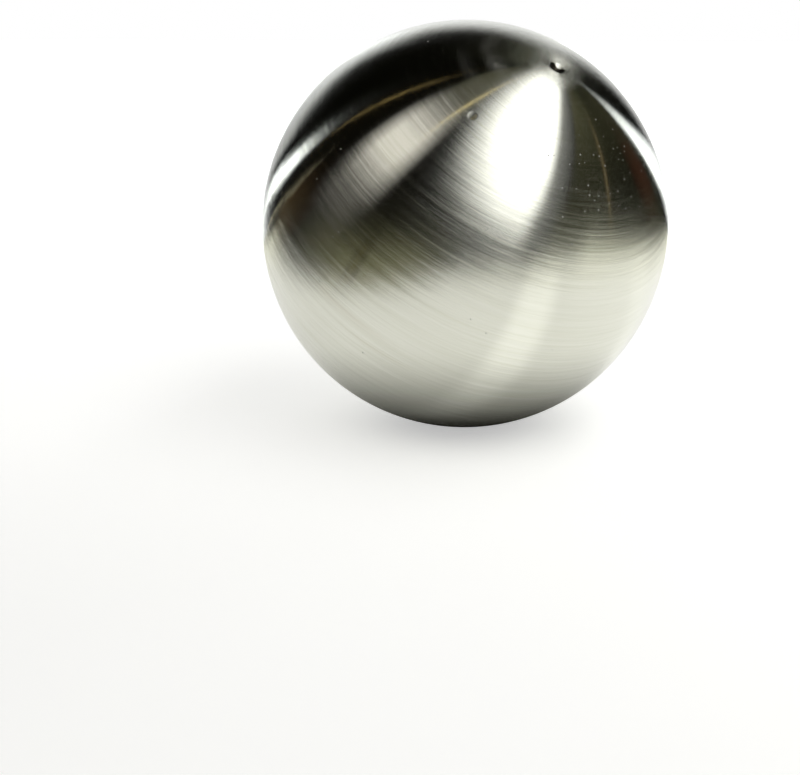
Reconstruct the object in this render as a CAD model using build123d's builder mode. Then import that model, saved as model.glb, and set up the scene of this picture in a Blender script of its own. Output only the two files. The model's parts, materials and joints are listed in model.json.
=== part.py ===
from build123d import *
from math import cos, radians, sin, sqrt
import os

# A solid steel ball, turned in one piece and brushed on the lathe, in millimetres.
# The origin is the ball's centre and +Z is up.
# The ball lies rolled over, so its turning axis leans from +Z towards +X.

# Driving dimensions of the ball
ball_diameter = 50.0
axis_lean = 36.0  # degrees between the turning axis and +Z

# The centre mark that the lathe left at the upper end of the turning axis
mark_diameter = 2.0  # across the mark, before its edge is broken
mark_depth = 0.42  # from the edge of the mark to its bottom
mark_edge_radius = 0.16  # the worn edge of the mark

# A small ding in the upper face, placed by its angles about the turning axis
ding_diameter = 1.0
ding_depth = 0.04
ding_edge_radius = 0.8
ding_from_mark = 32.5  # degrees down from the centre mark
ding_around_axis = -80.0  # degrees round the axis, from the side that it leans to

# Heights along the turning axis and along the ding's own axis, from the ball's centre
ball_radius = ball_diameter / 2
mark_radius = mark_diameter / 2
mark_edge_height = sqrt(ball_radius**2 - mark_radius**2)
mark_bottom_height = mark_edge_height - mark_depth
ding_radius = ding_diameter / 2
ding_bottom_height = sqrt(ball_radius**2 - ding_radius**2) - ding_depth
ding_ball_radius = (ding_radius**2 + ding_depth**2) / (2 * ding_depth)

# The turning axis, the plane that the profile is drawn on and the plane that faces the ding
axis_direction = Vector(sin(radians(axis_lean)), 0, cos(radians(axis_lean)))
lean_direction = Vector(cos(radians(axis_lean)), 0, -sin(radians(axis_lean)))
turning_axis = Axis((0, 0, 0), axis_direction)
profile_plane = Plane((0, 0, 0), x_dir=lean_direction, z_dir=lean_direction.cross(axis_direction))
ding_direction = axis_direction.rotate(Axis((0, 0, 0), profile_plane.z_dir), -ding_from_mark)
ding_plane = Plane((0, 0, 0), z_dir=ding_direction.rotate(turning_axis, ding_around_axis))

os.makedirs("parts", exist_ok=True)

# The ball, turned from one profile that ends in the centre mark
with BuildPart() as steel_sphere:
    with BuildSketch(profile_plane) as profile:
        with BuildLine():
            mark_edge = (mark_radius, mark_edge_height)
            ThreePointArc((0, -ball_radius), (ball_radius, 0), mark_edge)
            TangentArc((0, mark_bottom_height), mark_edge, tangent=(1, 0))
            Line((0, mark_bottom_height), (0, -ball_radius))
        make_face()
        fillet(profile.vertices().sort_by(Axis.X)[-1], radius=mark_edge_radius)
    revolve(axis=turning_axis)

    # The ding is the print of a small ball, with its edge rounded over
    with Locations(ding_plane.offset(ding_bottom_height + ding_ball_radius)):
        Sphere(radius=ding_ball_radius, mode=Mode.SUBTRACT)
    ding_edge = steel_sphere.edges(Select.NEW).filter_by(lambda edge: edge.is_closed)
    fillet(ding_edge, radius=ding_edge_radius)

steel_sphere.part.label = "steel_sphere"
export_step(steel_sphere.part, "parts/steel_sphere.step")
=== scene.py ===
import json
import math

import bmesh
import bpy
from mathutils import Matrix, Vector


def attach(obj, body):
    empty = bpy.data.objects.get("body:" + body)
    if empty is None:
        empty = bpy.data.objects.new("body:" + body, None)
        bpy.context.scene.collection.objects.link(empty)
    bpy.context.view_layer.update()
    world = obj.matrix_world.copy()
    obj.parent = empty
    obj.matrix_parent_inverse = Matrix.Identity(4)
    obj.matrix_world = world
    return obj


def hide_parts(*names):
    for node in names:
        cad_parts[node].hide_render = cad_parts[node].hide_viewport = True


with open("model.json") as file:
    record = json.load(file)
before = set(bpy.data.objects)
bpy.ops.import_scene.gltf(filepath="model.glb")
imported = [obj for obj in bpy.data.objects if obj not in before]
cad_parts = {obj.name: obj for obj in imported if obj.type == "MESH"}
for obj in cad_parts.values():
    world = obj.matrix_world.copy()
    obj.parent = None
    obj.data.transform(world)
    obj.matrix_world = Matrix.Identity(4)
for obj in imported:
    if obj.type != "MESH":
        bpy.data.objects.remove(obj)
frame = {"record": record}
scene = bpy.context.scene
scene.view_settings.view_transform = "Standard"
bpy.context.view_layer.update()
ballCentre = Vector((0, 0, 0))  # the row's origin
ballRadius = max(frame["record"]["size"]["bbox_m"]) / 2
floorHeight = ballCentre.z - ballRadius


# Camera

cameraSetup = {
    "azimuth": 45.0,  # degrees, in the row's frame
    "elevation": 10.0,
    "lens": 70.0,  # mm
    "imageSize": (800, 775),  # pixels
    "ballPixel": (462.6, 225.6),  # where the ball's centre stands in the picture
    "ballPixelRadius": 201.5,
}


# Directions are given as seen from the ball: azimuth 0 is the photographer's side,
# positive azimuths are to the photographer's right, and elevation is above level.
def directionTo(azimuth, elevation):
    turn = math.radians(cameraSetup["azimuth"] + azimuth)
    rise = math.radians(elevation)
    level = math.cos(rise)
    return Vector((math.sin(turn) * level, -math.cos(turn) * level, math.sin(rise)))


def makeCamera(setup):
    data = bpy.data.cameras.new("camera")
    data.lens = setup["lens"]
    focalPixels = setup["lens"] / data.sensor_width * setup["imageSize"][0]
    distance = ballRadius / math.sin(math.atan(setup["ballPixelRadius"] / focalPixels))
    back = directionTo(0, setup["elevation"])
    right = Vector((0, 0, 1)).cross(back).normalized()
    up = back.cross(right)
    offRight = (setup["ballPixel"][0] - setup["imageSize"][0] / 2) / focalPixels * distance
    offUp = (setup["imageSize"][1] / 2 - setup["ballPixel"][1]) / focalPixels * distance
    camera = bpy.data.objects.new("camera", data)
    camera.location = ballCentre + back * distance
    aim = ballCentre - right * offRight - up * offUp  # the picture's middle, beside and below the ball
    camera.rotation_euler = (aim - camera.location).to_track_quat("-Z", "Y").to_euler()
    scene.collection.objects.link(camera)
    scene.camera = camera


makeCamera(cameraSetup)
print("camera placed")


# Ball mesh: rings round the turning axis, closer together at the centre mark and the ding

ballShape = {
    "lean": 36.0,  # degrees from +Z towards +X
    "ringStep": 1.1,  # degrees between rings, away from the marks
    "segmentStep": 1.2,  # degrees round the axis, away from the ding
    "markDiameter": 0.0020,
    "markDepth": 0.00042,
    "markEdge": 0.22,  # how soft the worn edge is
    "markStep": 0.12,  # degrees between rings in and beside the mark
    "dingDiameter": 0.0010,
    "dingDepth": 0.00004,
    "dingEdge": 0.35,
    "dingFromMark": 32.5,  # degrees down from the centre mark
    "dingAround": -80.0,  # degrees round the axis
    "dingStep": 0.2,
    "dingMargin": 1.2,  # ding widths round its middle that are meshed finely
    "plainFrom": 2.0,  # mark or ding widths from its middle, where the ball is plain again
    "normalStep": 0.02,  # degrees each way, for the slope of the surface
}


def steppedAngles(start, end, step, fineFrom, fineTo, fineStep):
    # Angles from start to end that step finely between fineFrom and fineTo.
    angles = [start]
    while angles[-1] < end - 1e-6:
        here = angles[-1]
        fine = fineFrom - step <= here < fineTo
        angles.append(min(here + (fineStep if fine else step), end))
    return angles


def dentDepth(distance, diameter, depth, edge):
    # A round-bottomed dent with a worn edge.
    inside = 1 - (distance / (diameter / 2)) ** 2
    return depth * (inside + math.sqrt(inside * inside + edge * edge)) / (1 + math.sqrt(1 + edge * edge))


def turnedPoint(fromMark, around):
    # Unit vector in the ball's own turning frame, where z is the turning axis.
    t, a = math.radians(fromMark), math.radians(around)
    return Vector((math.sin(t) * math.cos(a), math.sin(t) * math.sin(a), math.cos(t)))


def makeBall(shape):
    arcPerMetre = 180 / math.pi / ballRadius
    dingReach = shape["dingDiameter"] * arcPerMetre * shape["dingMargin"]
    markReach = shape["markDiameter"] * arcPerMetre
    fineStep = shape["markStep"]
    rings = steppedAngles(fineStep, markReach, fineStep, 0, markReach, fineStep)
    rings += steppedAngles(
        markReach, 180, shape["ringStep"],
        shape["dingFromMark"] - dingReach, shape["dingFromMark"] + dingReach, shape["dingStep"],
    )[1:-1]
    squeeze = math.sin(math.radians(shape["dingFromMark"]))  # of a step round the axis, at the ding
    wide = dingReach / squeeze
    columns = steppedAngles(
        -180, 180, shape["segmentStep"],
        shape["dingAround"] - wide, shape["dingAround"] + wide, shape["dingStep"] / squeeze,
    )[:-1]
    ding = turnedPoint(shape["dingFromMark"], shape["dingAround"])
    lean = Matrix.Rotation(math.radians(shape["lean"]), 3, "Y")

    def surface(fromMark, around):
        point = turnedPoint(fromMark, around)
        markAway = ballRadius * math.sin(math.radians(min(fromMark, 90)))
        dingAway = (point - ding).length * ballRadius
        height = ballRadius
        height -= dentDepth(markAway, shape["markDiameter"], shape["markDepth"], shape["markEdge"])
        height -= dentDepth(dingAway, shape["dingDiameter"], shape["dingDepth"], shape["dingEdge"])
        return ballCentre + lean @ (point * height)

    def surfaceNormal(fromMark, around):
        point = turnedPoint(fromMark, around)
        nearMark = 0 < fromMark < shape["plainFrom"] * markReach
        nearDing = (point - ding).length * ballRadius < shape["plainFrom"] * shape["dingDiameter"]
        if not (nearMark or nearDing):
            return lean @ point
        small = shape["normalStep"]
        wide = small / math.sin(math.radians(fromMark))
        downward = surface(fromMark + small, around) - surface(fromMark - small, around)
        sideways = surface(fromMark, around + wide) - surface(fromMark, around - wide)
        return downward.cross(sideways).normalized()

    bm = bmesh.new()
    uvMap = bm.loops.layers.uv.new("OFBake")  # u runs from the mark to the far pole, v round the axis
    top = bm.verts.new(surface(0, 0))
    bottom = bm.verts.new(surface(180, 0))
    normals = [surfaceNormal(0, 0), surfaceNormal(180, 0)]
    grid = []
    for ring in rings:
        grid.append([bm.verts.new(surface(ring, column)) for column in columns])
        normals += [surfaceNormal(ring, column) for column in columns]
    count = len(columns)
    edges = columns + [180.0]

    def addFace(corners):
        face = bm.faces.new([vert for vert, _, _ in corners])
        face.smooth = True
        for loop, (_, ring, column) in zip(face.loops, corners):
            loop[uvMap].uv = (ring / 180, (column + 180) / 360)

    for c in range(count):
        d = (c + 1) % count
        left, right = edges[c], edges[c + 1]
        middle = (left + right) / 2
        addFace([(top, 0, middle), (grid[0][c], rings[0], left), (grid[0][d], rings[0], right)])
        addFace([(bottom, 180, middle), (grid[-1][d], rings[-1], right), (grid[-1][c], rings[-1], left)])
        for r in range(len(rings) - 1):
            addFace([
                (grid[r][c], rings[r], left), (grid[r + 1][c], rings[r + 1], left),
                (grid[r + 1][d], rings[r + 1], right), (grid[r][d], rings[r], right),
            ])
    mesh = bpy.data.meshes.new("steel_ball")
    bm.to_mesh(mesh)
    bm.free()
    mesh.normals_split_custom_set_from_vertices(normals)
    ball = bpy.data.objects.new("steel_ball", mesh)
    scene.collection.objects.link(ball)
    print("ball made,", sum(len(p.vertices) - 2 for p in mesh.polygons), "triangles")
    return ball


ball = makeBall(ballShape)


# Node helpers


def newNode(tree, kind, **settings):
    node = tree.nodes.new(kind)
    for name, value in settings.items():
        setattr(node, name, value)
    return node


def feed(tree, socket, value):
    # Links a socket, or sets a plain number or colour.
    if isinstance(value, bpy.types.NodeSocket):
        tree.links.new(value, socket)
    else:
        socket.default_value = value


def calc(tree, operation, *values):
    node = newNode(tree, "ShaderNodeMath", operation=operation)
    for socket, value in zip(node.inputs, values):
        feed(tree, socket, value)
    return node.outputs[0]


def spread(tree, value, low, high, toLow=0.0, toHigh=1.0, smooth=False):
    node = newNode(tree, "ShaderNodeMapRange", interpolation_type="SMOOTHSTEP" if smooth else "LINEAR")
    names = ("Value", "From Min", "From Max", "To Min", "To Max")
    for name, number in zip(names, (value, low, high, toLow, toHigh)):
        feed(tree, node.inputs[name], number)
    return node.outputs["Result"]


def blendColour(tree, amount, first, second):
    node = newNode(tree, "ShaderNodeMix", data_type="RGBA")
    feed(tree, node.inputs[0], amount)
    feed(tree, node.inputs[6], first)
    feed(tree, node.inputs[7], second)
    return node.outputs[2]


def newGroup(name, inputs, outputs):
    tree = bpy.data.node_groups.new(name, "ShaderNodeTree")
    for label, kind in inputs:
        tree.interface.new_socket(label, in_out="INPUT", socket_type=kind)
    for label, kind in outputs:
        tree.interface.new_socket(label, in_out="OUTPUT", socket_type=kind)
    source = newNode(tree, "NodeGroupInput")
    sink = newNode(tree, "NodeGroupOutput")
    return tree, source.outputs, sink.inputs


def useGroup(tree, group, **values):
    node = newNode(tree, "ShaderNodeGroup", node_tree=group)
    for name, value in values.items():
        feed(tree, node.inputs[name], value)
    return node.outputs


# Where a point lies about the turning axis: degrees from the mark, degrees round, a vector out from the
# axis, which tells places on a ring apart, and the way down the surface from the mark
def makeTurningGroup(lean):
    tree, given, out = newGroup(
        "turningFrame",
        [("Place", "NodeSocketVector")],
        [("FromMark", "NodeSocketFloat"), ("Around", "NodeSocketFloat"), ("Ring", "NodeSocketVector"),
         ("Down", "NodeSocketVector")],
    )
    upright = newNode(tree, "ShaderNodeVectorRotate", rotation_type="Y_AXIS")
    feed(tree, upright.inputs["Vector"], given["Place"])
    upright.inputs["Angle"].default_value = -math.radians(lean)
    unit = newNode(tree, "ShaderNodeVectorMath", operation="NORMALIZE")
    feed(tree, unit.inputs[0], upright.outputs[0])
    parts = newNode(tree, "ShaderNodeSeparateXYZ")
    feed(tree, parts.inputs[0], unit.outputs[0])
    x, y, z = parts.outputs
    feed(tree, out["FromMark"], calc(tree, "DEGREES", calc(tree, "ARCCOSINE", z)))
    feed(tree, out["Around"], calc(tree, "DEGREES", calc(tree, "ARCTAN2", y, x)))
    flat = newNode(tree, "ShaderNodeCombineXYZ")
    feed(tree, flat.inputs[0], x)
    feed(tree, flat.inputs[1], y)
    ring = newNode(tree, "ShaderNodeVectorMath", operation="NORMALIZE")
    feed(tree, ring.inputs[0], flat.outputs[0])
    feed(tree, out["Ring"], ring.outputs[0])
    outward = newNode(tree, "ShaderNodeVectorMath", operation="SCALE")
    feed(tree, outward.inputs[0], ring.outputs[0])
    feed(tree, outward.inputs["Scale"], z)
    drop = newNode(tree, "ShaderNodeCombineXYZ")
    sine = calc(tree, "SINE", calc(tree, "ARCCOSINE", z))
    feed(tree, drop.inputs[2], calc(tree, "MULTIPLY", sine, -1.0))
    down = newNode(tree, "ShaderNodeVectorMath", operation="ADD")
    feed(tree, down.inputs[0], outward.outputs[0])
    feed(tree, down.inputs[1], drop.outputs[0])
    leaning = newNode(tree, "ShaderNodeVectorRotate", rotation_type="Y_AXIS")
    feed(tree, leaning.inputs["Vector"], down.outputs[0])
    leaning.inputs["Angle"].default_value = math.radians(lean)
    feed(tree, out["Down"], leaning.outputs[0])
    return tree


noiseMiddle = 0.5  # the level that noise swings about
lineRoughness = 0.6  # how strong the finer lines among the brush lines are


# Brush lines that run round the axis and break up along the way
def makeLinesGroup():
    tree, given, out = newGroup(
        "brushLines",
        [("FromMark", "NodeSocketFloat"), ("Ring", "NodeSocketVector"), ("PerDegree", "NodeSocketFloat"),
         ("Breaks", "NodeSocketFloat"), ("Seed", "NodeSocketFloat"), ("Detail", "NodeSocketFloat")],
        [("Lines", "NodeSocketFloat")],
    )
    parts = newNode(tree, "ShaderNodeSeparateXYZ")
    feed(tree, parts.inputs[0], given["Ring"])
    place = newNode(tree, "ShaderNodeCombineXYZ")
    seeded = calc(tree, "MULTIPLY_ADD", parts.outputs[0], given["Breaks"], given["Seed"])
    feed(tree, place.inputs[0], seeded)
    feed(tree, place.inputs[1], calc(tree, "MULTIPLY", parts.outputs[1], given["Breaks"]))
    feed(tree, place.inputs[2], calc(tree, "MULTIPLY", given["FromMark"], given["PerDegree"]))
    noise = newNode(tree, "ShaderNodeTexNoise", noise_dimensions="3D")
    feed(tree, noise.inputs["Vector"], place.outputs[0])
    noise.inputs["Scale"].default_value = 1.0
    feed(tree, noise.inputs["Detail"], given["Detail"])
    noise.inputs["Roughness"].default_value = lineRoughness
    feed(tree, out["Lines"], noise.outputs[0])
    return tree


# A soft oval patch, long along the rings before it is turned, in true degrees on the surface
def makePatchGroup():
    tree, given, out = newGroup(
        "patchMask",
        [
            ("FromMark", "NodeSocketFloat"), ("Around", "NodeSocketFloat"),
            ("AtFromMark", "NodeSocketFloat"), ("AtAround", "NodeSocketFloat"),
            ("Length", "NodeSocketFloat"), ("Width", "NodeSocketFloat"),
            ("Turn", "NodeSocketFloat"), ("Soft", "NodeSocketFloat"),
        ],
        [("Mask", "NodeSocketFloat")],
    )
    shrink = calc(tree, "SINE", calc(tree, "RADIANS", given["AtFromMark"]))
    across = calc(tree, "MULTIPLY", calc(tree, "SUBTRACT", given["Around"], given["AtAround"]), shrink)
    down = calc(tree, "SUBTRACT", given["FromMark"], given["AtFromMark"])
    turn = calc(tree, "RADIANS", given["Turn"])
    cosine, sine = calc(tree, "COSINE", turn), calc(tree, "SINE", turn)
    along = calc(tree, "MULTIPLY", across, cosine)
    along = calc(tree, "ADD", along, calc(tree, "MULTIPLY", down, sine))
    over = calc(tree, "MULTIPLY", down, cosine)
    over = calc(tree, "SUBTRACT", over, calc(tree, "MULTIPLY", across, sine))
    start = calc(tree, "SUBTRACT", 1.0, given["Soft"])
    along = calc(tree, "DIVIDE", along, calc(tree, "MULTIPLY", given["Length"], 0.5))
    over = calc(tree, "DIVIDE", over, calc(tree, "MULTIPLY", given["Width"], 0.5))
    away = calc(tree, "ADD", calc(tree, "MULTIPLY", along, along), calc(tree, "MULTIPLY", over, over))
    away = calc(tree, "SQRT", away)
    feed(tree, out["Mask"], spread(tree, away, start, 1.0, 1.0, 0.0, smooth=True))
    return tree


smallestSpeck = 0.5  # of the largest


# Dust: small round specks, in only some of the cells
def makeDustGroup():
    tree, given, out = newGroup(
        "dustSpecks",
        [("Place", "NodeSocketVector"), ("PerMetre", "NodeSocketFloat"), ("Share", "NodeSocketFloat"),
         ("Size", "NodeSocketFloat")],
        [("Mask", "NodeSocketFloat")],
    )
    cells = newNode(tree, "ShaderNodeTexVoronoi", feature="F1")
    feed(tree, cells.inputs["Vector"], given["Place"])
    feed(tree, cells.inputs["Scale"], given["PerMetre"])
    chance = newNode(tree, "ShaderNodeSeparateColor")
    feed(tree, chance.inputs[0], cells.outputs["Color"])
    kept = calc(tree, "LESS_THAN", chance.outputs[0], given["Share"])
    share = spread(tree, chance.outputs[1], 0.0, 1.0, smallestSpeck, 1.0)
    size = calc(tree, "MULTIPLY", given["Size"], share)
    inside = calc(tree, "LESS_THAN", cells.outputs["Distance"], size)
    feed(tree, out["Mask"], calc(tree, "MULTIPLY", kept, inside))
    return tree


turningFrame = makeTurningGroup(ballShape["lean"])
brushLines = makeLinesGroup()
patchMask = makePatchGroup()
dustSpecks = makeDustGroup()


# Brushed steel

steelFinish = {
    "paleColour": (0.712, 0.715, 0.640, 1.0),
    "deepColour": (0.655, 0.66, 0.575, 1.0),  # in the brush lines
    "hollowDarkColour": (0.06, 0.055, 0.04, 1.0),  # darker colour inside the centre mark, and partly inside the ding
    "markDarkReach": (1.8, 2.4),  # degrees from the mark's middle, where the darker colour fades out
    "glintSide": (108.0, 0.9),  # degrees round, where the darker colour stops short so that the wall there mirrors the lamps as a glint, and how far in
    "cleanFade": (0.6, 1.0),  # cosines of the way round, between fully darkened and stopping short
    "stainColour": (0.40, 0.34, 0.22, 1.0),
    "dustColour": (0.38, 0.38, 0.35, 1.0),
    "roughness": 0.165,
    "roughnessSwing": 0.03,  # from brush line to brush line
    "markRoughness": 0.262,  # the scuffed steel close round the centre mark
    "markReach": (2.0, 11.0),  # degrees from the mark's middle, where the scuffing fades
    "anisotropy": 1.0,
    # brush lines: how many a degree, how they break up round the ring, a seed and their detail
    "fineLines": (120.0, 1.6, 3.0, 0.0),
    "middleLines": (3.2, 1.3, 17.0, 1.0),
    "broadLines": (1.1, 1.0, 31.0, 1.0),
    "toneLines": (1.6, 1.4, 47.0, 2.0),
    "grooveLines": (2.6, 1.8, 61.0, 1.0),
    "blotchLines": (0.5, 5.0, 83.0, 2.0),
    "fineTilt": 0.42,  # of the lines' swing, in radians
    "middleTilt": 0.13,
    "broadTilt": 0.06,
    "brushSide": (-75.0, 0.5),  # degrees round, where the lines are deepest, and how deep opposite
    "brushFade": (0.3, 0.9),  # cosines of the way round, between shallow and deep
    # levels of the lines, from none to full
    "toneSpan": (0.3, 0.7),
    "grooveSpan": (0.54, 0.72),
    "scratchSpan": (0.35, 0.6),
    "stainSpan": (0.35, 0.7),
    "blotchSpan": (0.35, 0.65, 0.3, 1.3),  # with the film's cover at each
    "grainPerMetre": 16000.0,
    "scuffTilt": 0.6,  # the scuffed steel close round the centre mark, every way
    # a thin matt film along some rings: degrees from the mark, degrees round, length, width, turn,
    # softness, and how much it covers
    "films": [
        (17.4, -109.0, 13.0, 7.5, 0.0, 1.0, 0.12),
        (18.8, -137.0, 26.0, 6.5, 0.0, 1.0, 0.05),
        (25.3, -108.0, 26.0, 6.0, 0.0, 1.0, 0.03),
    ],
    "grooveColour": (0.67, 0.675, 0.575, 1.0),
    "grooveRoughness": 0.225,  # in the deeper brush lines
    "scratchRoughness": 0.26,
    "scratchColour": (0.86, 0.86, 0.82, 1.0),
    "scratchStrength": 0.6,
    # degrees from the mark, degrees round, length, width, turn, softness
    "scratches": [
        (54.0, -94.5, 5.0, 0.7, 6.0, 0.7),
        (70.0, -52.5, 34.0, 0.6, 0.0, 0.9),
        (73.5, -60.0, 28.0, 0.5, 0.5, 0.9),
        (66.0, -86.0, 22.0, 0.6, 0.0, 0.9),
        (11.0, -130.0, 14.0, 1.6, 0.0, 0.9),
        (98.0, -103.0, 0.8, 0.8, 0.0, 0.7),
    ],
    "dents": [(32.5, -80.0, 3.2, 3.2, 0.0, 0.6)],  # rougher steel inside the ding, with a darker colour too
    "dentRoughness": 0.265,
    # share of the darker colour inside the ding
    "dentDarkening": 0.45,
    "stains": [
        (95.5, -70.0, 44.0, 5.0, 2.0, 0.8),
        (100.0, -60.0, 30.0, 3.0, 0.0, 0.9),
    ],
    "stainStrength": 0.22,
    "dustPerMetre": 1300.0,
    "dustShare": (0.05, 1.0),  # of the cells, away from the dusty patch and in it
    "dustSize": 0.122,  # of a cell
    "dustRoughness": 0.9,
    "dustPatch": (32.0, 0.0, 52.0, 44.0, 0.0, 0.7),
}


def makeSteel(finish):
    material = bpy.data.materials.new("brushed_steel")
    material.use_nodes = True
    tree = material.node_tree
    shader = tree.nodes["Principled BSDF"]
    place = newNode(tree, "ShaderNodeTexCoord").outputs["Object"]
    turning = useGroup(tree, turningFrame, Place=place)
    fromMark, around, ring = turning["FromMark"], turning["Around"], turning["Ring"]

    def lines(perDegree, breaks, seed, detail):
        return useGroup(
            tree, brushLines, FromMark=fromMark, Ring=ring,
            PerDegree=perDegree, Breaks=breaks, Seed=seed, Detail=detail,
        )["Lines"]

    def patch(atFromMark, atAround, length, width, turn, soft):
        return useGroup(
            tree, patchMask, FromMark=fromMark, Around=around, AtFromMark=atFromMark, AtAround=atAround,
            Length=length, Width=width, Turn=turn, Soft=soft,
        )["Mask"]

    def allOf(patches):
        total = patch(*patches[0])
        for values in patches[1:]:
            total = calc(tree, "MAXIMUM", total, patch(*values))
        return total

    def facing(sideAround):
        # Cosine of the way round the axis from there.
        turn = calc(tree, "SUBTRACT", around, sideAround)
        return calc(tree, "COSINE", calc(tree, "RADIANS", turn))

    def share(mask, part):
        return calc(tree, "MULTIPLY", mask, part)

    def offMiddle(level):
        return calc(tree, "SUBTRACT", level, noiseMiddle)

    # Brush lines: each tilts the surface a little up or down
    fine = lines(*finish["fineLines"])
    middle = lines(*finish["middleLines"])
    broad = lines(*finish["broadLines"])
    deepAround, shallow = finish["brushSide"]
    depth = spread(tree, facing(deepAround), *finish["brushFade"], shallow, 1.0, smooth=True)
    tilt = calc(tree, "MULTIPLY", offMiddle(middle), finish["middleTilt"])
    tilt = calc(tree, "MULTIPLY_ADD", offMiddle(broad), finish["broadTilt"], tilt)
    tilt = calc(tree, "MULTIPLY", tilt, depth)
    tilt = calc(tree, "MULTIPLY_ADD", offMiddle(fine), finish["fineTilt"], tilt)
    down = newNode(tree, "ShaderNodeVectorTransform", convert_from="OBJECT", convert_to="WORLD")
    feed(tree, down.inputs[0], turning["Down"])
    scuffed = spread(tree, fromMark, *finish["markReach"], 1.0, 0.0, smooth=True)
    grain = newNode(tree, "ShaderNodeTexNoise")
    feed(tree, grain.inputs["Vector"], place)
    grain.inputs["Scale"].default_value = finish["grainPerMetre"]
    grain.inputs["Detail"].default_value = 0.0
    centred = newNode(tree, "ShaderNodeVectorMath", operation="SUBTRACT")
    feed(tree, centred.inputs[0], grain.outputs["Color"])
    centred.inputs[1].default_value = (noiseMiddle, noiseMiddle, noiseMiddle)
    scuff = newNode(tree, "ShaderNodeVectorMath", operation="SCALE")
    feed(tree, scuff.inputs[0], centred.outputs[0])
    feed(tree, scuff.inputs["Scale"], calc(tree, "MULTIPLY", scuffed, finish["scuffTilt"]))
    shaken = newNode(tree, "ShaderNodeVectorMath", operation="ADD")
    feed(tree, shaken.inputs[0], newNode(tree, "ShaderNodeNewGeometry").outputs["Normal"])
    feed(tree, shaken.inputs[1], scuff.outputs[0])
    lean = newNode(tree, "ShaderNodeVectorMath", operation="MULTIPLY_ADD")
    feed(tree, lean.inputs[0], down.outputs[0])
    feed(tree, lean.inputs[1], tilt)
    feed(tree, lean.inputs[2], shaken.outputs[0])
    normal = newNode(tree, "ShaderNodeVectorMath", operation="NORMALIZE")
    feed(tree, normal.inputs[0], lean.outputs[0])
    feed(tree, shader.inputs["Normal"], normal.outputs[0])
    tangent = newNode(tree, "ShaderNodeTangent", direction_type="UV_MAP", uv_map="OFBake")
    feed(tree, shader.inputs["Tangent"], tangent.outputs[0])

    # Wear: grooves, scratches, stains, dust and a matt film; also a darker colour inside the mark and the
    # ding
    tone = lines(*finish["toneLines"])
    grooved = share(spread(tree, lines(*finish["grooveLines"]), *finish["grooveSpan"]), depth)
    scratched = share(allOf(finish["scratches"]), spread(tree, tone, *finish["scratchSpan"]))
    dented = allOf(finish["dents"])
    stained = share(allOf(finish["stains"]), spread(tree, middle, *finish["stainSpan"]))
    # darker colour inside the centre mark, stopping short on one side so that the wall there mirrors the
    # lamps as a glint
    glintAround, glintReach = finish["glintSide"]
    receded = spread(tree, facing(glintAround), *finish["cleanFade"], 0.0, glintReach, smooth=True)
    away = calc(tree, "ADD", fromMark, receded)
    markDarkened = spread(tree, away, *finish["markDarkReach"], 1.0, 0.0, smooth=True)
    dusty = useGroup(
        tree, dustSpecks, Place=place, PerMetre=finish["dustPerMetre"], Size=finish["dustSize"],
        Share=spread(tree, patch(*finish["dustPatch"]), 0, 1, *finish["dustShare"]),
    )["Mask"]
    blotchy = spread(tree, lines(*finish["blotchLines"]), *finish["blotchSpan"])
    filmed = dusty
    for *where, cover in finish["films"]:
        filmed = calc(tree, "MAXIMUM", filmed, share(share(patch(*where), cover), blotchy))
    feed(tree, shader.inputs["Metallic"], calc(tree, "SUBTRACT", 1.0, filmed))

    toned = spread(tree, tone, *finish["toneSpan"])
    colour = blendColour(tree, toned, finish["deepColour"], finish["paleColour"])
    colour = blendColour(tree, grooved, colour, finish["grooveColour"])
    colour = blendColour(tree, share(stained, finish["stainStrength"]), colour, finish["stainColour"])
    pale = share(scratched, finish["scratchStrength"])
    colour = blendColour(tree, pale, colour, finish["scratchColour"])
    # darker colour inside the ding
    colour = blendColour(tree, share(dented, finish["dentDarkening"]), colour, finish["hollowDarkColour"])
    # darker colour inside the centre mark
    colour = blendColour(tree, markDarkened, colour, finish["hollowDarkColour"])
    colour = blendColour(tree, dusty, colour, finish["dustColour"])
    feed(tree, shader.inputs["Base Color"], colour)

    swing = finish["roughnessSwing"]
    swung = spread(tree, tone, *finish["toneSpan"], -swing / 2, swing / 2)
    rough = calc(tree, "ADD", finish["roughness"], swung)
    rough = spread(tree, grooved, 0, 1, rough, finish["grooveRoughness"])
    rough = spread(tree, scuffed, 0, 1, rough, finish["markRoughness"])
    rough = spread(tree, scratched, 0, 1, rough, finish["scratchRoughness"])
    rough = spread(tree, dented, 0, 1, rough, finish["dentRoughness"])
    rough = calc(tree, "MAXIMUM", rough, share(dusty, finish["dustRoughness"]))
    feed(tree, shader.inputs["Roughness"], rough)
    shader.inputs["Anisotropic"].default_value = finish["anisotropy"]
    return material


ball.data.materials.append(makeSteel(steelFinish))
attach(ball, "root")
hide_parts("steel_sphere")
print("steel finish made")


# Studio: a paper sheet in a dark room with dim walls, soft boxes, strips and small warm lamps

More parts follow.
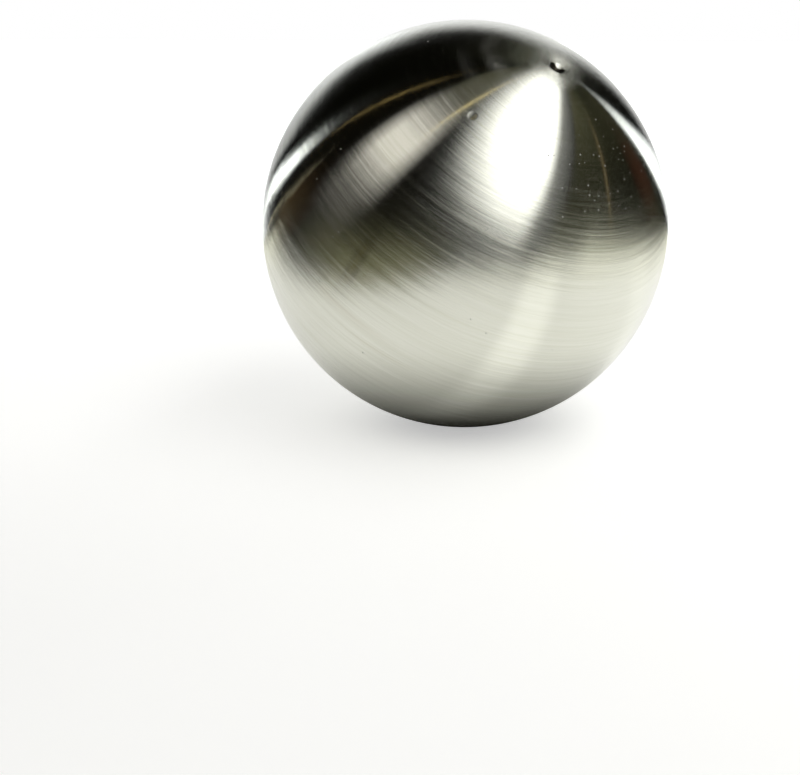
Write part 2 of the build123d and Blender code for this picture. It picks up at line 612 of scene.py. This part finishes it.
paperSheet = {
    "colour": (0.88, 0.88, 0.86, 1.0),
    "roughness": 0.9,
    "glowWay": (0.5, -0.87),  # to the photographer's right and towards the photographer
    "glow": (0.28, 0.66),  # what the camera and the steel see, from front to back
    "glowSpan": (-0.12, 0.12),  # metres
    "footShade": (0.006, 0.032, 0.0),  # painted contact shadow: metres from the ball's foot, and the mirrored glow left there
    # painted contact shadow: the sheet's colour at the ball's foot, as the steel mirrors it
    "footShadowColour": (0.05, 0.05, 0.03, 1.0),
    "edgeTint": (1.0, 1.0, 0.68, 1.0),  # of the mirrored glow towards the sheet's edges
    "edgeSpan": (0.06, 0.17),  # metres from the ball's foot
    # painted light streaks, where the ball throws the key light onto the sheet: where they start, in
    # metres to the right and towards the photographer, then the way they run, in degrees from the right
    # towards the photographer, and their strength
    "lightStreakStart": (-0.015, 0.001),
    "lightStreaks": [(45.0, 0.24), (-13.0, 0.07)],
    "lightStreakSpread": (0.06, 0.20),  # radians each side
    # corners in metres, to the photographer's right of the ball and towards the photographer
    "corners": [(-0.005, 0.128), (0.238, 0.092), (0.078, -0.138), (-0.145, -0.100)],
    # a wide floor round the sheet, which only the camera sees, a little lower and white farther off
    "roundReach": 0.8,  # metres
    "roundDrop": 0.000002,
    "whiteSpan": (0.13, 0.30),  # metres from the ball's foot
}

darkRoom = {
    "radius": 0.9,  # metres
    "segments": (48, 24),  # round and up
    "colour": (0.0015, 0.0015, 0.0008, 1.0),
    "skyForDiffuse": 0.55,  # strength of the even light that falls on the sheet
}

# Each card is a run of edges side by side, each from its upper end to its lower one, as azimuth and
# elevation in degrees. Its light is given by levels down the edges and across them.
cards = {
    "key_box": {
        "edges": [
            [
                (142, 48), (139, 54), (135, 61), (122, 70), (97, 77), (40, 78), (8, 69), (-3, 59),
                (-8, 48), (-7, 38), (0, 21),
            ],
            [
                (139, 48), (131, 55), (120, 60), (102, 66), (76, 68), (45, 65), (27, 55), (20, 45),
                (17, 34), (19, 23), (19, 11),
            ],
            [
                (135, 46), (125, 50), (113, 52), (97, 52), (82, 49), (67, 43), (56, 35), (47, 28),
                (39, 21), (33, 15), (26, 7),
            ],
            [
                (136, 45), (125, 48), (113, 50), (99, 50), (85, 47), (71, 41), (60, 33), (52, 26),
                (45, 18), (40, 12), (34, 4),
            ],
            [
                (136, 44), (126, 46), (115, 47), (103, 46), (91, 42), (79, 36), (69, 29), (62, 22),
                (55, 14), (49, 8), (43, 0),
            ],
        ],
        "down": [1, 1, 1, 1, 1, 1, 1, 1, 1, 1, 0.72],
        "across": [0.05, 1.0, 1.0, 0.13, 0.02],
        "distance": 0.40,
        "radiance": 2.1,
        "colour": (1.0, 1.0, 1.0),
    },
    "fill_box": {
        "edges": [
            [(-73, 80), (-73, 70), (-74, 62), (-76, 52), (-80, 43), (-83, 35), (-86, 29), (-93, 14)],
            [(-37, 78), (-52, 69), (-57, 60), (-62, 50), (-67, 41), (-71, 33), (-75, 26), (-84, 11)],
            [(-5, 71), (-24, 63), (-33, 54), (-43, 45), (-51, 36), (-57, 28), (-62, 22), (-72, 6)],
            [(4, 67), (-13, 58), (-23, 50), (-31, 40), (-39, 31), (-45, 23), (-51, 17), (-64, 2)],
        ],
        "down": [0.04, 0.25, 0.95, 1.0, 1.0, 0.12, 0.07, 0.07],
        "across": [0.03, 1.0, 1.0, 0.05],
        "distance": 0.40,
        "radiance": 1.15,
        "colour": (1.0, 0.96, 0.92),
    },
    "back_card": {
        "edges": [
            [(203, 37), (206, 20), (217, -8)],
            [(190, 37), (191, 20), (193, -8)],
            [(158, 37), (160, 20), (152, -8)],
        ],
        "down": [0.0, 1.0, 1.0],
        "across": [0.3, 1.0, 1.0],
        "distance": 0.45,
        "radiance": 1.25,
        "colour": (0.97, 0.98, 1.0),
    },
    "left_rim": {
        "edges": [
            [
                (-158, 38), (-152, 33), (-147, 27), (-143, 23), (-139, 18), (-138, 13), (-139, 7),
                (-147, 2), (-151, -2), (-152, -4), (-149, -5), (-145, -6), (-142, -8), (-138, -11),
                (-137, -13), (-140, -15), (-144, -16),
            ],
            [
                (-171, 20), (-166, 18), (-162, 15), (-159, 13), (-156, 10), (-155, 7), (-154, 3),
                (-158, -1), (-160, -3), (-159, -5), (-158, -5), (-156, -6), (-154, -7), (-152, -8),
                (-151, -9), (-153, -11), (-155, -12),
            ],
            [
                (-178, 3), (-176, 2), (-174, 1), (-172, 1), (-171, 0), (-170, -2), (-169, -3), (-168, -4),
                (-168, -5), (-167, -6), (-167, -7), (-167, -7), (-167, -7), (-167, -8), (-167, -8),
                (-167, -9), (-167, -10),
            ],
        ],
        "across": [0.03, 0.65, 1.0],
        "distance": 0.44,
        "radiance": 2.3,
        "colour": (0.95, 0.97, 1.0),
    },
    "ceiling": {
        "edges": [[(138, 64), (-54, 77)], [(121, 64), (-4, 67)]],
        "down": [1.0, 0.6],
        "distance": 0.45,
        "radiance": 0.10,
        "colour": (1.0, 0.98, 0.66),
    },
    "mark_glow": {
        "edges": [
            [(145.6, 42.2), (151.3, 40.1), (157.2, 36.9), (162.9, 32.6)],
            [(144.6, 43.8), (149, 44.8), (154.4, 45.4), (160.7, 45.2)],
            [(142.9, 45.1), (143.8, 49), (145.9, 53.4), (149.7, 58.2)],
            [(141.6, 45.5), (139.6, 50.4), (137.4, 56.1), (135, 62.7)],
        ],
        "down": [1.0, 0.9, 0.2, 0.0],
        "across": [0.7, 1.0, 1.0, 0.2],
        "distance": 0.43,
        "radiance": 0.34,
        "colour": (0.97, 1.0, 0.80),
    },
    "back_ceiling": {
        "edges": [[(177, 67), (175, 42)], [(140, 60), (158, 38)]],
        "across": [0.3, 1.0],
        "distance": 0.45,
        "radiance": 0.016,
        "colour": (1.0, 1.0, 0.68),
    },
    "right_wall": {
        "edges": [
            [(124, 47), (102, 47), (81, 42), (66, 33), (50, 15), (41, 3)],
            [(128, 42), (115, 37), (106, 29), (99, 20), (96, 3), (96, -6)],
            [(135, 37), (130, 29), (128, 21), (130, 12), (138, 0), (146, -6)],
        ],
        "down": [1.2, 1.0, 0.8, 0.4, 0.2, 1.2],
        "across": [1.0, 0.33, 0.36],
        "distance": 0.60,
        "radiance": 0.10,
        "colour": (1.0, 0.98, 0.56),
    },
    "red_wall": {
        "edges": [
            [(114, 21), (112, 11), (117, 2)],
            [(120, 19), (120, 10), (125, 1)],
            [(126, 17), (128, 9), (133, 1)],
        ],
        "across": [0.4, 1.0, 0.8],
        "distance": 0.55,
        "radiance": 0.045,
        "colour": (1.0, 0.40, 0.22),
    },
    "brown_wall": {
        "edges": [
            [(-100, 16), (-112, 7), (-124, -3), (-131, -8)],
            [(-88, 11), (-93, 4), (-104, -5), (-118, -11)],
        ],
        "down": [0.3, 1.0, 1.0, 1.0],
        "across": [1.0, 0.25],
        "distance": 0.55,
        "radiance": 0.055,
        "colour": (1.0, 0.66, 0.34),
    },
    "olive_strip": {
        "edges": [
            [(-58, -5), (-63, -11), (-75, -22)],
            [(-56, -6), (-60, -11), (-71, -23)],
            [(-53, -6), (-56, -12), (-67, -24)],
        ],
        "down": [0.2, 1.0, 1.0],
        "across": [0.2, 1.0, 0.2],
        "distance": 0.57,
        "radiance": 0.16,
        "colour": (1.0, 0.90, 0.34),
    },
    "table_edge": {
        "edges": [
            [(-40, 6), (-55, 5), (-79, 5), (-97, 2), (-111, -3)],
            [(-27, 3), (-41, -1), (-59, -3), (-81, -4), (-100, -7)],
            [(-15, -4), (-28, -9), (-43, -13), (-63, -15), (-85, -16)],
            [(-2, -11), (-14, -19), (-28, -26), (-45, -30), (-72, -31)],
        ],
        "down": [0.25, 0.85, 1.0, 1.0, 1.0],
        "across": [0.02, 0.4, 1.0, 1.2],
        "distance": 0.60,
        "radiance": 0.20,
        "colour": (1.0, 0.97, 0.56),
    },
    "left_strip": {
        "edges": [
            [(-108, 29), (-112, 22), (-118, 14), (-125, 7), (-135, 1), (-145, -4), (-159, -8)],
            [(-110, 29), (-118, 22), (-126, 14), (-133, 7), (-144, 1), (-155, -4), (-169, -8)],
        ],
        "down": [0.0, 0.1, 0.8, 1.0, 1.0, 1.0, 1.0],
        "distance": 0.80,
        "radiance": 3.0,
        "colour": (0.93, 0.97, 1.0),
    },
    "right_strip": {
        "edges": [
            [
                (134, 35), (130, 32), (128, 28), (128, 23), (131, 18), (132, 13), (135, 8), (139, 3),
                (144, -1), (153, -5),
            ],
            [
                (137, 33), (136, 29), (136, 24), (137, 20), (140, 15), (144, 10), (152, 4), (163, -2),
                (172, -7), (183, -11),
            ],
        ],
        "down": [0.04, 0.08, 0.45, 0.8, 0.9, 1.0, 1.0, 1.0, 0.9, 0.8],
        "across": [1.0, 0.6],
        "distance": 0.80,
        "radiance": 2.5,
        "colour": (0.93, 0.97, 1.0),
    },
}

# Each lamp is a strip along a line of azimuth, elevation and width in degrees.
warmLamps = {
    "left_warm_lamp": {
        "line": [
            (-137.9, 82.8, 0.1), (-110.6, 78.4, 0.14), (-101.3, 72.6, 0.18), (-97.3, 65, 0.24),
            (-96.9, 57.3, 0.24), (-98.6, 49.7, 0.2), (-101, 42.1, 0.16), (-104.7, 33.3, 0.1),
        ],
        "distance": 0.45,
        "radiance": 1.4,
        "colour": (1.0, 0.74, 0.30),
    },
    "top_warm_lamp": {
        "line": [(97, 75, 0.5), (69, 79, 0.9), (13, 77, 1.2), (-16, 70, 1.0), (-26, 63, 0.5)],
        "distance": 0.36,
        "radiance": 1.0,
        "colour": (1.0, 0.82, 0.40),
    },
    "right_warm_lamp": {
        "line": [(104, 36, 0.5), (95, 27, 0.8), (88, 16, 0.8), (85, 2, 0.6)],
        "distance": 0.45,
        "radiance": 0.30,
        "colour": (1.0, 0.75, 0.40),
    },
    "low_warm_lamp": {
        "line": [
            (-102.9, 15.9, 0.2), (-108.6, 10.2, 0.2), (-115, 4.9, 0.2), (-123.4, -0.3, 0.2),
            (-132.3, -4.7, 0.2), (-140.4, -7.8, 0.2),
        ],
        "distance": 0.45,
        "radiance": 2.0,
        "colour": (1.0, 0.90, 0.66),
    },
}


def stageObject(name, bm, material):
    mesh = bpy.data.meshes.new(name)
    bm.to_mesh(mesh)
    bm.free()
    mesh.materials.append(material)
    made = bpy.data.objects.new(name, mesh)
    scene.collection.objects.link(made)
    return made


def makeCard(name, edges, distance, radiance, colour, down=None, across=None):
    material = bpy.data.materials.new(name)
    material.use_nodes = True
    tree = material.node_tree
    tree.nodes.remove(tree.nodes["Principled BSDF"])
    glow = newNode(tree, "ShaderNodeEmission")
    glow.inputs["Color"].default_value = (*colour, 1.0)
    level = newNode(tree, "ShaderNodeAttribute", attribute_name="level")
    feed(tree, glow.inputs["Strength"], calc(tree, "MULTIPLY", level.outputs["Fac"], radiance))
    feed(tree, tree.nodes["Material Output"].inputs["Surface"], glow.outputs[0])
    bm = bmesh.new()
    levelLayer = bm.verts.layers.float.new("level")
    columns = []
    for side, edge in enumerate(edges):
        column = []
        for step, (azimuth, elevation) in enumerate(edge):
            corner = bm.verts.new(ballCentre + directionTo(azimuth, elevation) * distance)
            corner[levelLayer] = (down[step] if down else 1.0) * (across[side] if across else 1.0)
            column.append(corner)
        columns.append(column)
    for left, right in zip(columns, columns[1:]):
        for step in range(len(left) - 1):
            bm.faces.new((left[step], right[step], right[step + 1], left[step + 1]))
    card = stageObject(name, bm, material)
    card.visible_camera = False
    card.visible_shadow = False


def makeStrip(name, line, distance, radiance, colour):
    left, right = [], []
    for step, (azimuth, elevation, width) in enumerate(line):
        before = line[max(step - 1, 0)]
        after = line[min(step + 1, len(line) - 1)]
        squeeze = math.cos(math.radians(elevation))
        along = Vector(((after[0] - before[0]) * squeeze, after[1] - before[1])).normalized()
        overAz, overEl = -along.y * width / 2 / squeeze, along.x * width / 2
        left.append((azimuth - overAz, elevation - overEl))
        right.append((azimuth + overAz, elevation + overEl))
    makeCard(name, [left, right], distance, radiance, colour)


def seenRays(tree):
    # 1 for what the camera, a mirror or glass shows, 0 for light that falls on something.
    path = newNode(tree, "ShaderNodeLightPath")
    seen = calc(tree, "MAXIMUM", path.outputs["Is Camera Ray"], path.outputs["Is Glossy Ray"])
    return calc(tree, "MAXIMUM", seen, path.outputs["Is Transmission Ray"])


def makeFloor(sheet):
    material = bpy.data.materials.new("white_paper")
    material.use_nodes = True
    tree = material.node_tree
    shader = tree.nodes["Principled BSDF"]
    shader.inputs["Roughness"].default_value = sheet["roughness"]
    shader.inputs["Specular IOR Level"].default_value = 0.0
    towards = directionTo(0, 0)
    right = Vector((0, 0, 1)).cross(towards)
    place = newNode(tree, "ShaderNodeTexCoord").outputs["Object"]

    def along(direction):
        node = newNode(tree, "ShaderNodeVectorMath", operation="DOT_PRODUCT")
        feed(tree, node.inputs[0], place)
        node.inputs[1].default_value = direction
        return node.outputs["Value"]

    glowRight, glowTowards = sheet["glowWay"]
    backwards = along(right * glowRight + towards * glowTowards)
    glow = spread(tree, backwards, *sheet["glowSpan"], *sheet["glow"], smooth=True)
    mirrored = glow
    aside, ahead = sheet["lightStreakStart"]
    start = right * aside + towards * ahead
    # painted light: pale streaks added to the glow that the steel mirrors
    for angle, strength in sheet["lightStreaks"]:
        turn = math.radians(angle)
        way = right * math.cos(turn) + towards * math.sin(turn)
        over = right * math.sin(turn) - towards * math.cos(turn)
        onward = calc(tree, "SUBTRACT", along(way), start.dot(way))
        beside = calc(tree, "SUBTRACT", along(over), start.dot(over))
        off = calc(tree, "ABSOLUTE", calc(tree, "ARCTAN2", beside, onward))
        pale = spread(tree, off, *sheet["lightStreakSpread"], strength, 0.0, smooth=True)
        mirrored = calc(tree, "ADD", mirrored, pale)
    toRight, toFront = along(right), along(towards)
    square = calc(tree, "MULTIPLY", toFront, toFront)
    square = calc(tree, "ADD", calc(tree, "MULTIPLY", toRight, toRight), square)
    away = calc(tree, "SQRT", square)
    # Painted contact shadow: near the ball's foot the steel mirrors a darker glow and a darker colour
    shade = spread(tree, away, *sheet["footShade"], 1.0, smooth=True)
    mirrored = calc(tree, "MULTIPLY", mirrored, shade)

    # The camera sees a plain sheet, and the steel mirrors its painted light streaks, the painted contact
    # shadow at its foot and the yellow tint of its glow towards the edges
    direct = newNode(tree, "ShaderNodeLightPath").outputs["Is Camera Ray"]
    lit = calc(tree, "MAXIMUM", direct, shade)
    colour = blendColour(tree, lit, sheet["footShadowColour"], sheet["colour"])
    feed(tree, shader.inputs["Base Color"], colour)
    tinted = spread(tree, direct, 0, 1, spread(tree, away, *sheet["edgeSpan"], smooth=True), 0.0)
    tint = blendColour(tree, tinted, (1, 1, 1, 1), sheet["edgeTint"])
    feed(tree, shader.inputs["Emission Color"], tint)
    white = spread(tree, away, *sheet["whiteSpan"], 0.0, 1.0, smooth=True)
    glow = spread(tree, direct, 0, 1, mirrored, calc(tree, "MAXIMUM", glow, white))
    feed(tree, shader.inputs["Emission Strength"], calc(tree, "MULTIPLY", seenRays(tree), glow))

    def layFloor(name, places, height):
        bm = bmesh.new()
        corners = [right * sideways + towards * forward for sideways, forward in places]
        bm.faces.new([bm.verts.new((corner.x, corner.y, height)) for corner in corners])
        return stageObject(name, bm, material)

    layFloor("floor", sheet["corners"], floorHeight)
    reach = sheet["roundReach"]
    roundCorners = [(-reach, reach), (reach, reach), (reach, -reach), (-reach, -reach)]
    roundFloor = layFloor("floor_round", roundCorners, floorHeight - sheet["roundDrop"])
    roundFloor.visible_glossy = False
    roundFloor.visible_diffuse = False
    roundFloor.visible_transmission = False
    roundFloor.visible_shadow = False


def makeRoom(setup):
    material = bpy.data.materials.new("dark_room")
    material.use_nodes = True
    tree = material.node_tree
    tree.nodes.remove(tree.nodes["Principled BSDF"])
    glow = newNode(tree, "ShaderNodeEmission")
    glow.inputs["Color"].default_value = setup["colour"]
    feed(tree, tree.nodes["Material Output"].inputs["Surface"], glow.outputs[0])
    bm = bmesh.new()
    across, up = setup["segments"]
    bmesh.ops.create_uvsphere(bm, u_segments=across, v_segments=up, radius=setup["radius"])
    room = stageObject("dark_room", bm, material)
    room.visible_camera = False
    room.visible_diffuse = False
    room.visible_shadow = False


def makeSky(setup):
    world = bpy.data.worlds.new("studio")
    world.use_nodes = True
    scene.world = world
    tree = world.node_tree
    sky = tree.nodes["Background"]
    sky.inputs["Color"].default_value = (1, 1, 1, 1)
    feed(tree, sky.inputs["Strength"], spread(tree, seenRays(tree), 0, 1, setup["skyForDiffuse"], 1))


makeFloor(paperSheet)
makeRoom(darkRoom)
makeSky(darkRoom)
for cardName, values in cards.items():
    makeCard(cardName, **values)
for lampName, values in warmLamps.items():
    makeStrip(lampName, **values)
print("studio made")
